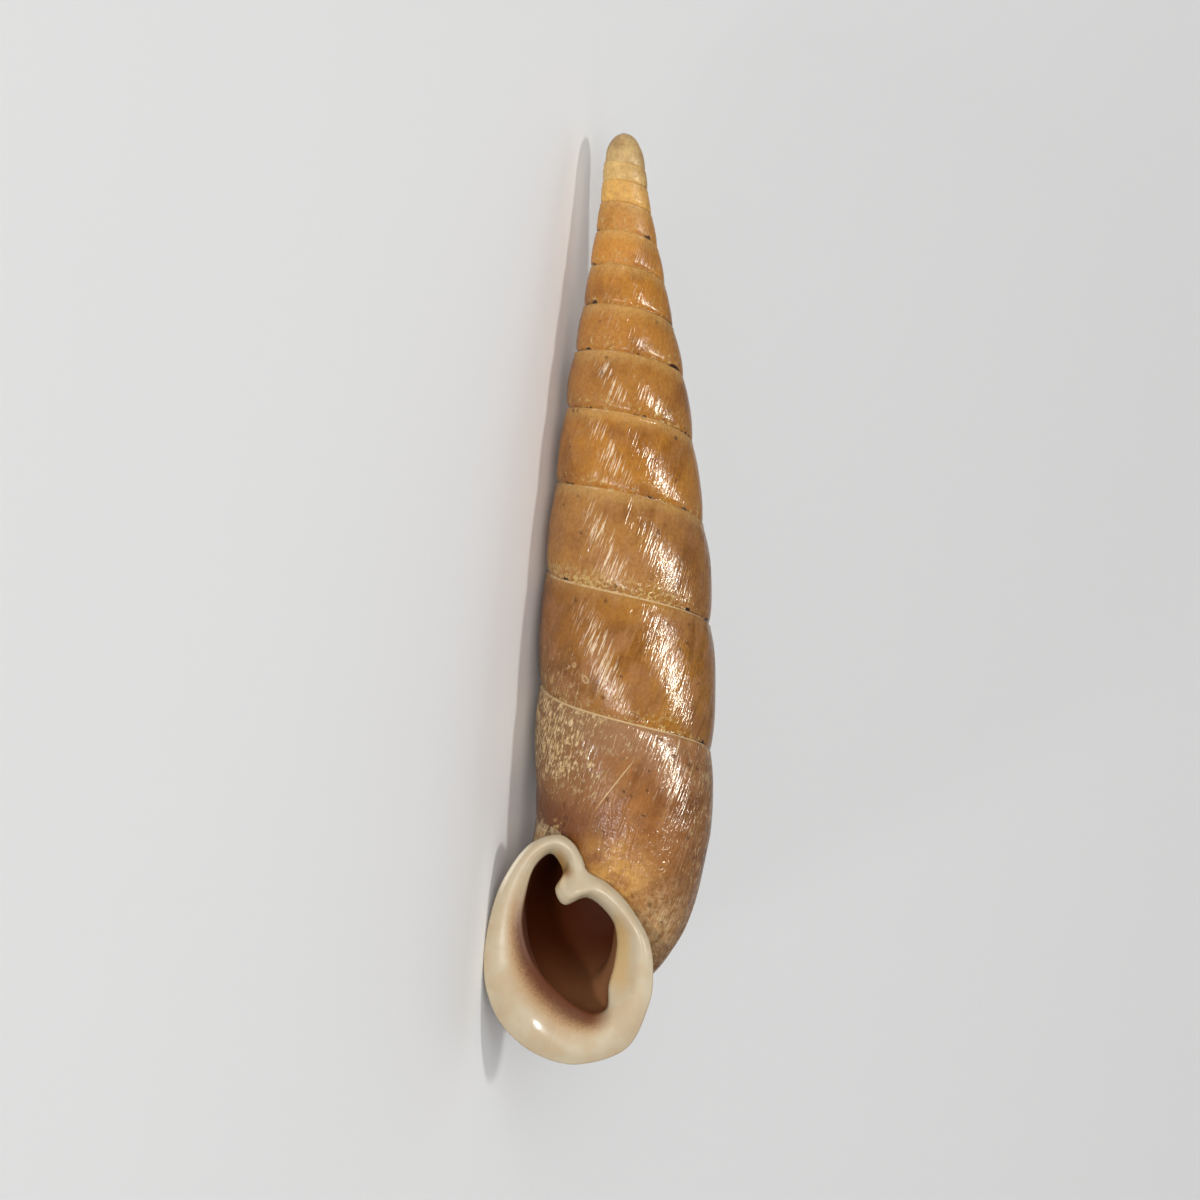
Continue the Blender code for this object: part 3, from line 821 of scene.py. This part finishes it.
def map_growth(data):
    """Adds the UV layers that the material reads: the place along and across the growth."""
    turn, phase = read_layer(data, "coil").T
    spots = np.empty(len(data.vertices) * 3)
    data.vertices.foreach_get("co", spots)
    corners = np.empty(len(data.loops), dtype=int)
    data.loops.foreach_get("vertex_index", corners)
    right, away, up = (spots.reshape(-1, 3)[corners] / MM).T
    on_tube = turn > LAST_TURN + 1.0
    round_turn = (np.arctan2(away, right) / (2.0 * math.pi)) % 1.0 + TUBE_FIRST_TURN
    turn = np.where(on_tube, round_turn, turn)
    depth = suture_depth(turn) + phase * (suture_depth(turn + 1.0) - suture_depth(turn))
    depth = np.where(on_tube, -up, depth)
    line, turn, below, above = growth_place(turn, depth)
    write_layer(data, "growth", line, below)
    write_layer(data, "whorl", turn, above)
    data.uv_layers.remove(data.uv_layers["coil"])


def shell_piece():
    data = joined_mesh()
    map_growth(data)
    data.transform(lying())
    return linked("shell_surface", data)


class Value:
    """What a node gives. It can be added, taken away and multiplied."""

    def __init__(self, paint, socket):
        self.paint = paint
        self.socket = socket

    def __add__(self, other):
        return self.paint.math("ADD", self, other)

    def __radd__(self, other):
        return self.paint.math("ADD", other, self)

    def __sub__(self, other):
        return self.paint.math("SUBTRACT", self, other)

    def __rsub__(self, other):
        return self.paint.math("SUBTRACT", other, self)

    def __mul__(self, other):
        return self.paint.math("MULTIPLY", self, other)

    def __rmul__(self, other):
        return self.paint.math("MULTIPLY", other, self)

    def rise(self, low, high):
        """0 at low, 1 at high, smooth between; it falls where low is the larger."""
        ends = (0.0, 1.0) if low < high else (1.0, 0.0)
        node = self.paint.node("ShaderNodeMapRange", self, *sorted((low, high)), *ends)
        node.interpolation_type = "SMOOTHSTEP"
        return self.paint.given(node)

    def window(self, low, high, soft):
        """1 between low and high, with soft edges."""
        return self.rise(low - soft, low + soft) * self.rise(high + soft, high - soft)

    def span(self, start, full, fades, end):
        """1 between full and fades, falling to 0 at start and at end."""
        return self.rise(start, full) * self.rise(end, fades)


class ShellPaint:
    """The shell's material: its nodes, and what its UV layers and its place give. Inputs
    may be numbers, colours or values."""

    def __init__(self):
        self.material = bpy.data.materials.new("shell_surface")
        self.material.use_nodes = True
        self.tree = self.material.node_tree
        self.line, self.below = self.layer("growth")
        self.turn, self.above = self.layer("whorl")
        self.mouth, self.column = self.layer("mouth")
        self.arc = self.line - BACKWARD * self.below
        self.part = self.math("FRACT", self.turn)
        self.place = self.place_in_mm()
        self.clouds = self.noise(0.45, 3.0, 0.6)
        self.speckle = self.noise(9.0, 3.0, 0.7)

    def put(self, socket, value):
        if isinstance(value, Value):
            self.tree.links.new(value.socket, socket)
        elif isinstance(value, tuple) and socket.type == "RGBA":
            socket.default_value = (*value, 1.0)
        else:
            socket.default_value = value

    def node(self, kind, *values, operation=None, **named):
        """A new node with its first inputs and the named ones filled."""
        node = self.tree.nodes.new(kind)
        if operation:
            node.operation = operation
        for socket, value in zip(node.inputs, values):
            self.put(socket, value)
        for name, value in named.items():
            self.put(node.inputs[name], value)
        return node

    def given(self, node, output=0):
        return Value(self, node.outputs[output])

    def math(self, operation, a, b=0.0):
        return self.given(self.node("ShaderNodeMath", a, b, operation=operation))

    def most(self, *values):
        largest = values[0]
        for value in values[1:]:
            largest = self.math("MAXIMUM", largest, value)
        return largest

    def mixed(self, node, sockets, *values):
        inputs, output = sockets
        for socket, value in zip(inputs, values, strict=True):
            self.put(node.inputs[socket], value)
        return self.given(node, output)

    def blend(self, share, a, b):
        """A number between a and b."""
        return self.mixed(self.node("ShaderNodeMix"), MIX_NUMBER_SOCKETS, share, a, b)

    def mix(self, share, a, b, blend="MIX"):
        """Colour b over colour a, as strong as the share."""
        node = self.node("ShaderNodeMix")
        node.data_type = "RGBA"
        node.blend_type = blend
        return self.mixed(node, MIX_COLOUR_SOCKETS, share, a, b)

    def cover(self, colour, mark, *where):
        """The colour with one of the MARKS over it, where all the values say so."""
        over, strength = MARKS[mark]
        return self.mix(math.prod(where, start=strength), colour, over)

    def tint(self, colour, mark, *where):
        """The colour darkened by one of the TINTS, where all the values say so."""
        tint, strength = TINTS[mark]
        darker = self.mix(1.0, colour, tint, "MULTIPLY")
        return self.mix(math.prod(where, start=strength), colour, darker)

    def ramp(self, value, stops, low, high):
        """A colour for each value: stops are (value, colour) from low to high."""
        node = self.node("ShaderNodeValToRGB", (value - low) * (1.0 / (high - low)))
        elements = node.color_ramp.elements
        while len(elements) < len(stops):
            elements.new(1.0)
        for element, (at, colour) in zip(elements, stops, strict=True):
            element.position = (at - low) / (high - low)
            element.color = (*colour, 1.0)
        return self.given(node)

    def layer(self, name):
        """The two values kept in a UV layer."""
        uv = self.node("ShaderNodeUVMap")
        uv.uv_map = name
        split = self.node("ShaderNodeSeparateXYZ", self.given(uv))
        return self.given(split, 0), self.given(split, 1)

    def place_in_mm(self):
        """The point on the object, in millimetres."""
        point = self.given(self.node("ShaderNodeTexCoord"), "Object")
        node = self.node("ShaderNodeVectorMath", point, operation="SCALE", Scale=1.0 / MM)
        return self.given(node)

    def beyond(self, point, way):
        """How far a place is past a point of the upright shell, in millimetres, that way."""
        unit = lain_way(*way).normalized()
        node = self.node("ShaderNodeVectorMath", self.place, unit, operation="DOT_PRODUCT")
        return self.given(node, "Value") - unit.dot(lain(*point))

    def near(self, spot):
        """1 at the middle of a spot of the upright shell, falling to 0 at its radius."""
        middle, radius = spot
        centre = lain(*middle)
        node = self.node("ShaderNodeVectorMath", self.place, centre, operation="DISTANCE")
        return self.given(node, "Value").rise(radius, 0.0)

    def noise_at(self, vector, scale, detail, roughness):
        node = self.node("ShaderNodeTexNoise", vector, Scale=scale, Detail=detail, Roughness=roughness)
        return self.given(node)

    def noise(self, scale, detail=2.0, roughness=0.5):
        return self.noise_at(self.place, scale, detail, roughness)

    def along(self, x, y, z=0.0, detail=3.0, roughness=0.6):
        """Noise over three values, such as those along and across the growth."""
        point = self.given(self.node("ShaderNodeCombineXYZ", x, y, z))
        return self.noise_at(point, 1.0, detail, roughness)

    def drawn_out(self, along, across, seed, detail=3.0, roughness=0.6):
        """Noise drawn out along the growth lines."""
        return self.along(self.line * along, self.below * across, seed, detail, roughness)

    def spots(self, scale):
        """Distance to the nearest of scattered points, for pits and round marks."""
        return self.given(self.node("ShaderNodeTexVoronoi", self.place, Scale=scale))


def lain(right, away, depth):
    """A point of the upright shell, in millimetres, where it lies."""
    return lying() @ (Vector((right, away, -depth)) * MM) / MM


def lain_way(right, away, down):
    """A direction of the upright shell where it lies."""
    return lying().to_3x3() @ Vector((right, away, -down))


def front_arc(right, depth):
    """The whorl of a point of the last whorls' front, and where it is along the coil and
    below that whorl's upper suture."""
    radius = float(through(depth, BODY_DEPTHS, BODY_RADII))
    part = math.acos((AXIS_BOW - right) / radius) / (2.0 * math.pi)
    whorl = max(k for k in range(int(LAST_TURN) - 1) if suture_depth(k + part) <= depth)
    line, _, below, _ = growth_place(np.array(whorl + part), np.array(depth))
    return whorl, Vector((float(line - BACKWARD * below), float(below)))


def own_tones(shell):
    """The whorls' tones, with soft clouds and a pale band below each suture. On the last
    two whorls they are darker on the left and right sides than in front: painted shade.
    """
    colour = shell.ramp(shell.turn, TURN_COLOURS_AND_SIDE_SHADE, 0.0, LAST_TURN)
    colour = shell.tint(colour, "cloud", shell.clouds.rise(0.46, 0.68))
    mauve = shell.noise(0.8).rise(0.42, 0.66)
    colour = shell.cover(colour, "mauve", mauve, shell.turn.rise(6.0, 11.0))
    edge = shell.below + 0.9 * shell.drawn_out(0.8, 0.3, 1.0)
    strength = shell.blend(shell.turn.rise(9.0, 10.5), *BAND_STRENGTHS)
    band = strength * edge.rise(1.25, 0.45) * shell.turn.rise(1.5, 3.0)
    return shell.mix(band, colour, BAND_COLOUR)


def streaks(shell, colour):
    """Pale and dark streaks along the growth lines, and the dark low left of the last whorl."""
    pale = shell.drawn_out(3.2, 0.5, shell.turn, 4.0).rise(0.50, 0.78)
    colour = shell.cover(colour, "pale streak", pale, shell.turn.rise(4.0, 9.0))
    dark = shell.drawn_out(1.7, 0.35, 7.0).rise(0.52, 0.70)
    strength = shell.blend(shell.turn.rise(8.5, 10.5), *DARK_STREAK_STRENGTHS)
    colour = shell.tint(colour, "dark streak", dark, strength)
    low_left = shell.turn.span(*LOW_LEFT) * shell.below.rise(3.6, 5.4)
    return shell.cover(colour, "low left", low_left)


def painted_highlights(shell, colour):
    """Painted highlights: fine pale lines along the growth on the left of each whorl. Below
    the last whorl's suture, pale lines on its upper right, partly worn streaks and partly a
    painted highlight, and a pale mauve veil between them, partly the shell's tone and
    partly a painted sheen."""
    phase = shell.math("DIVIDE", shell.below, shell.below + shell.above)
    from_middle = shell.part - LEFT_HIGHLIGHT_MIDDLE - LEFT_HIGHLIGHT_LEAN * phase
    band = shell.math("ABSOLUTE", from_middle).rise(0.050, 0.010)
    band = band * phase.window(0.18, 0.88, 0.14)
    band = band * shell.turn.rise(4.5, 7.5) * shell.turn.rise(11.0, 10.99)
    lines = (shell.drawn_out(13.0, 0.8, shell.turn) + 0.10 * band).rise(0.60, 0.70)
    # The painted highlight on each whorl's left.
    colour = shell.cover(colour, "painted highlight", lines, band)
    # A pale mauve veil: partly the shell's tone and partly a painted sheen.
    haze_and_sheen = shell.turn.window(*HAZE_AND_SHEEN) * shell.below.rise(2.6, 0.6)
    colour = shell.cover(colour, "haze_and_sheen", haze_and_sheen)
    # Pale lines on the last whorl's upper right: partly worn streaks, partly a painted highlight.
    shoulder_streaks_and_highlight = shell.turn.window(*SHOULDER_STREAKS_AND_HIGHLIGHT) * shell.below.rise(4.4, 1.6)
    return shell.cover(colour, "shoulder_streaks_and_highlight", lines, shoulder_streaks_and_highlight)


def mottle(shell, colour):
    """The mottled base, and a fine grain all over."""
    base = shell.mix(shell.noise(2.6, 4.0, 0.65).rise(0.42, 0.60), BASE_BROWN, BASE_TAN)
    here = BASE_STRENGTH * shell.near(MOTTLED_BASE) * shell.turn.rise(11.0, 11.05)
    colour = shell.mix(here, colour, base)
    return shell.tint(colour, "grain", shell.noise(6.0, 3.0, 0.75).rise(0.40, 0.64))


def wear(shell):
    """How worn the surface is, from 0 to 1, and its most worn side: the last whorl's left."""
    left = shell.turn.span(*WORN_LEFT) * shell.below.rise(5.9, 2.8)
    low_left = shell.turn.span(*WORN_LOW_LEFT) * shell.above.rise(4.2, 0.8)
    broad = shell.blend(shell.turn.rise(10.9, 11.0), *BROAD_WEAR)
    most = shell.most(
        WEAR_LEFT * left,
        WEAR_LOW_LEFT * low_left,
        WEAR_RIGHT * shell.turn.span(*WORN_RIGHT),
        shell.near(WORN_BASE),
        broad * shell.noise(0.35).rise(0.50, 0.70),
    )
    return most, left


def worn(shell, colour):
    """Bare pale lime in specks along the growth lines. Also gives where they are."""
    most, left = wear(shell)
    patches = -0.08 + 1.85 * shell.noise(1.9, 3.0)
    fine = shell.drawn_out(9.0, 2.2, 3.0, 5.0, 0.78)
    fleck = (fine + 0.24 * (most * patches)).rise(0.64, 0.71)
    colour = shell.cover(colour, "worn side", left)
    bare = shell.mix(left, LIME, WORN_SIDE_LIME)
    speckled = shell.mix(shell.noise(5.0, 3.0, 0.7).rise(0.40, 0.60), WORN_TAN, bare)
    return shell.mix(FLECK_STRENGTH * fleck, colour, speckled), fleck


def sutures(shell, colour):
    """A pale broken thread at each suture, worn yellow scraps above it, and a painted shade:
    near-black slits in the sutures, mostly towards the sides. Also gives where the scraps are."""
    edge = shell.along(shell.arc * 1.6, shell.turn, detail=4.0, roughness=0.7)
    many = shell.turn.window(*MANY_SCRAPS) * 0.08
    scrap = shell.drawn_out(4.4, 4.0, 5.0, 4.0, 0.7) + 0.3 * edge + many
    scrap = scrap.rise(0.70, 0.78) * shell.above.rise(1.1, 0.1)
    colour = shell.cover(colour, "scrap", scrap)
    whole = (edge + 0.25 * shell.turn.rise(9.5, 10.8)).rise(0.46, 0.66)
    thread = shell.below.rise(0.11, 0.04) * whole * shell.turn.rise(6.0, 9.0)
    colour = shell.cover(colour, "thread", thread)
    # Painted shade: dark slits in the sutures, mostly towards the whorls' left and right sides.
    sides = shell.most(shell.part.rise(0.14, 0.10), shell.part.rise(0.34, 0.40))
    far = shell.along(shell.arc * 0.9, 3.0, shell.turn, roughness=0.65) + 0.09 * sides
    suture_shade = (SUTURE_SHADE_REACH * far.rise(0.57, 0.72) - shell.above).rise(-0.02, 0.03)
    suture_shade = suture_shade * far.rise(0.57, 0.60) * shell.turn.rise(0.6, 2.0)
    return shell.mix(suture_shade, colour, SUTURE_SHADE_COLOUR), scrap


def scratched(shell, colour):
    """The few long scratches. Also gives where they are."""
    found = 0.0
    for start, end, half_width in SCRATCHES:
        whorl, first = front_arc(*start)
        _, last = front_arc(*end)
        way = last - first
        along_x = shell.arc - first.x
        along_y = shell.below - first.y
        share = (along_x * way.x + along_y * way.y) * (1.0 / way.length_squared)
        off = (along_x * way.y + along_y * -way.x) * (1.0 / way.length)
        line = shell.math("ABSOLUTE", off).rise(half_width, 0.3 * half_width)
        line = line * share.window(0.0, 1.0, 0.15)
        found = shell.most(found, line * shell.turn.window(whorl, whorl + 0.5, 0.01))
    return shell.cover(colour, "scratch", found), found


def pitted(shell, colour):
    """Small round pits. Also gives where they are."""
    pit = shell.spots(1.2) + 0.5 * (shell.speckle - 0.5)
    pit = pit.rise(0.15, 0.05) * shell.clouds.rise(0.42, 0.52) * shell.turn.rise(5.0, 7.0)
    return shell.cover(colour, "pit", pit), pit


def lip_root(shell, colour):
    """The chipped edge where the neck leaves the whorl above it. Also gives where it is."""
    past = shell.beyond(*LIP_ROOT_EDGE) + 0.5 * (shell.noise(2.2, 3.0, 0.6) - 0.5)
    root = (past.rise(0.0, 0.07) * shell.near(LIP_ROOT)).rise(0.2, 0.3)
    chips = root * shell.noise(3.5, 4.0, 0.7).rise(0.62, 0.42)
    return shell.cover(colour, "chip", chips), root


def rings(shell, colour):
    """A few pale rings, worn round pits."""
    ring = shell.spots(1.7).window(0.15, 0.27, 0.05) * shell.near(RINGED).rise(0.1, 0.5)
    return shell.cover(colour, "ring", ring)


def lip_colour(shell):
    """Cream, with an amber ledge, a painted shade in the groove beside the stalk, a painted
    highlight along the upper left edge, and a brown throat with painted light low on its
    right wall. Also gives how far into the throat's brown a place is."""
    colour = shell.mix(shell.noise(0.8, 3.0).rise(0.38, 0.66), LIP_COLOUR, LIP_SHADE)
    ledge = shell.column.window(*LEDGE) * shell.mouth.rise(0.45, 0.78)
    colour = shell.cover(colour, "ledge", ledge)
    # Painted shade in the groove, darker at its end.
    groove = shell.column.window(*SHADED_GROOVE) * shell.mouth.rise(0.45, 0.95)
    colour = shell.mix(groove, colour, GROOVE_SHADE_COLOUR)
    colour = shell.mix(shell.near(GROOVE_END_SHADE), colour, GROOVE_END_SHADE_COLOUR)
    # A painted highlight along the upper left edge.
    streak = shell.column.window(*LIP_HIGHLIGHT) * shell.mouth.window(*LIP_HIGHLIGHT_ACROSS)
    colour = shell.cover(colour, "painted lip highlight", streak)
    wide = shell.column.span(*WIDE_THROAT)
    edge = shell.mouth + 0.20 * (shell.speckle - 0.5)
    colour = shell.mix(wide * edge.rise(0.36, 0.80), colour, THROAT_TAN)
    brown = wide * edge.rise(0.56, 0.90)
    colour = shell.mix(brown, colour, THROAT_BROWN)
    deep = shell.blend(wide, edge.rise(0.97, 1.10), edge.rise(0.80, 1.20))
    # The throat's dark brown, with painted light low on its right wall.
    throat = shell.mix(shell.near(LIT_THROAT), THROAT_DARK, THROAT_PAINTED_LIGHT)
    return shell.mix(deep, colour, throat), shell.most(deep, brown)


def shell_height(shell, marks):
    """The relief of the whorls, in millimetres."""
    fine = shell.blend(shell.turn.rise(1.0, 7.0), *FINE_LINE_HEIGHTS)
    height = fine * shell.drawn_out(11.5, 0.6, shell.turn, 2.0, 0.45)
    height += BROAD_LINE_HEIGHT * shell.drawn_out(3.0, 0.45, 2.0)
    height += GRAIN_HEIGHT * shell.noise(7.0, 3.0)
    for name, mark_height in MARK_HEIGHTS.items():
        height += mark_height * marks[name]
    crinkled = shell.most(*(share * shell.near(spot) for spot, share in CRINKLED))
    return height + CRINKLE_HEIGHT * crinkled * shell.noise(2.4, 3.5, 0.6)


def lip_height(shell):
    """The relief of the lip, in millimetres."""
    return LIP_WAVE_HEIGHT * shell.noise(1.6) + LIP_SWELLING_HEIGHT * shell.near(LIP_SWELLING)


def shell_roughness(shell, fleck):
    rough = shell.blend(fleck, *SHELL_ROUGHNESS) + TIP_ROUGHER * shell.turn.rise(5.5, 3.0)
    return rough + 0.10 * (shell.clouds - 0.5)


def lip_roughness(shell, brown):
    dull = LIP_DULLER * shell.most(*(shell.near(spot) for spot in DULL_LIP))
    rough = LIP_ROUGHNESS + dull - LIP_SHINIER * shell.near(SHINY_LIP)
    return shell.blend(brown, rough, THROAT_ROUGHNESS)


def shell_material():
    shell = ShellPaint()
    colour = own_tones(shell)
    for step in (streaks, painted_highlights, mottle):
        colour = step(shell, colour)
    marks = {}
    steps = {"fleck": worn, "scrap": sutures, "pit": pitted, "scratch": scratched}
    for mark, step in steps.items():
        colour, marks[mark] = step(shell, colour)
    amber = shell.near(AMBER_SPOT) * shell.noise(1.3, 4.0, 0.7).rise(0.28, 0.68)
    colour = shell.mix(amber * (1.0 - marks["fleck"]), colour, AMBER)
    colour, marks["lip root"] = lip_root(shell, colour)
    colour = rings(shell, colour)

    cream, brown = lip_colour(shell)
    on_lip = shell.mouth.rise(*LIP_STARTS)
    height = shell.blend(on_lip, shell_height(shell, marks), lip_height(shell))
    rough = shell_roughness(shell, marks["fleck"])
    rough = shell.blend(on_lip, rough, lip_roughness(shell, brown))
    shader = shell.tree.nodes["Principled BSDF"]
    bump = shell.node("ShaderNodeBump", Distance=MM, Height=height)
    shell.put(shader.inputs["Normal"], shell.given(bump))
    shell.put(shader.inputs["Base Color"], shell.mix(on_lip, colour, cream))
    shell.put(shader.inputs["Roughness"], rough)
    shader.inputs["Specular IOR Level"].default_value = SPECULAR
    shader.inputs["Subsurface Weight"].default_value = SUBSURFACE
    shader.inputs["Subsurface Radius"].default_value = SUBSURFACE_RADIUS
    shader.inputs["Subsurface Scale"].default_value = SUBSURFACE_SCALE * MM
    return shell.material


def place_camera():
    """A camera far away in front of the shell, square onto its axis."""
    data = bpy.data.cameras.new("camera")
    data.lens = CAMERA_LENS
    data.sensor_width = CAMERA_SENSOR
    data.clip_start = CAMERA_CLIP
    camera = linked("camera", data)
    distance = FRAME_MM * CAMERA_LENS / CAMERA_SENSOR
    spot = Vector(VIEW_MIDDLE) - Vector((0, distance, 0))
    upright = Matrix.Translation(spot * MM) @ Matrix.Rotation(math.radians(90), 4, "X")
    camera.matrix_world = lying() @ upright
    bpy.context.scene.camera = camera


def floor_piece():
    half = FLOOR_SIDE / 2.0
    mesh = bpy.data.meshes.new("floor")
    corners = [(-half, -half, 0), (half, -half, 0), (half, half, 0), (-half, half, 0)]
    mesh.from_pydata(corners, [], [(0, 1, 2, 3)])
    material = bpy.data.materials.new("floor")
    material.use_nodes = True
    shader = material.node_tree.nodes["Principled BSDF"]
    shader.inputs["Base Color"].default_value = (*FLOOR_COLOUR, 1)
    shader.inputs["Roughness"].default_value = FLOOR_ROUGHNESS
    mesh.materials.append(material)
    return linked("floor", mesh)


def toward(right_deg, up_deg):
    """A direction from the upright shell, in degrees right of the camera's and up from it."""
    right, up = math.radians(right_deg), math.radians(up_deg)
    return Vector((math.sin(right) * math.cos(up), -math.cos(right) * math.cos(up), math.sin(up)))


def area_light(name, direction, distance, width, height, power):
    """A soft lamp that shines on the shell's middle from a direction of its upright frame."""
    data = bpy.data.lights.new(name, "AREA")
    data.shape = "RECTANGLE"
    data.size = width
    data.size_y = height
    data.energy = power
    lamp = linked(name, data)
    pose = lying()
    target = pose @ Vector((0, 0, -LAMP_TARGET_DEPTH * MM))
    way = (pose.to_3x3() @ toward(*direction)).normalized()
    side = (pose.to_3x3() @ Vector((0, 0, 1))).cross(way).normalized()
    turned = Matrix((side, way.cross(side), way)).transposed()
    lamp.matrix_world = Matrix.Translation(target + way * distance) @ turned.to_4x4()
    lamp.visible_glossy = name not in NOT_IN_REFLECTIONS
    lamp.visible_diffuse = name not in ONLY_IN_REFLECTIONS
    data.color = LAMP_COLOURS.get(name, WHITE)


def light_world():
    world = bpy.data.worlds.new("world")
    world.use_nodes = True
    background = world.node_tree.nodes["Background"]
    background.inputs["Color"].default_value = (*WHITE, 1)
    background.inputs["Strength"].default_value = WORLD_STRENGTH
    bpy.context.scene.world = world


piece = shell_piece()
piece.data.materials.clear()
piece.data.materials.append(shell_material())
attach(piece, "root")
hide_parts("shell")

place_camera()
floor = floor_piece()
for lamp_name, lamp in LAMPS.items():
    area_light(lamp_name, *lamp)
light_world()
bpy.context.scene.view_settings.view_transform = "Standard"
